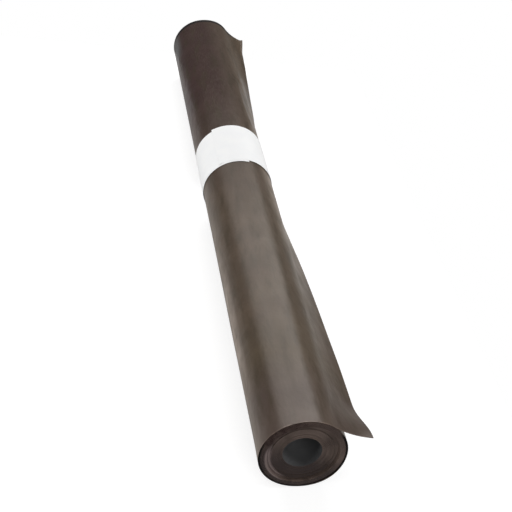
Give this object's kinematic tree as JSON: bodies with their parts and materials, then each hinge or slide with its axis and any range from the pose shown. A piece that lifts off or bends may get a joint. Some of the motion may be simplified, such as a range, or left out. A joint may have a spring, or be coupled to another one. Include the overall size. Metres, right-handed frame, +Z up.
{
  "type": "roll of building paper",
  "caption": "Roll of dark brown building paper wound about an open bore, its free end sprung off along one side, held by a white paper band round the middle.",
  "frame": {"origin": "on the axis of the bore, halfway along the sheet's width", "axes": "+Y along the bore, from the end whose inner turns lie deeper to the end where they stand out; +X towards the free edge of the sheet; +Z up as the roll lies"},
  "size_m": [0.1308, 1.0043, 0.1031],
  "materials": {
    "building_paper": "satin",
    "band_paper": "matte"
  },
  "bodies": {
    "root": {"paper_roll": "building_paper", "paper_band": "band_paper"}
  },
  "joints": []
}
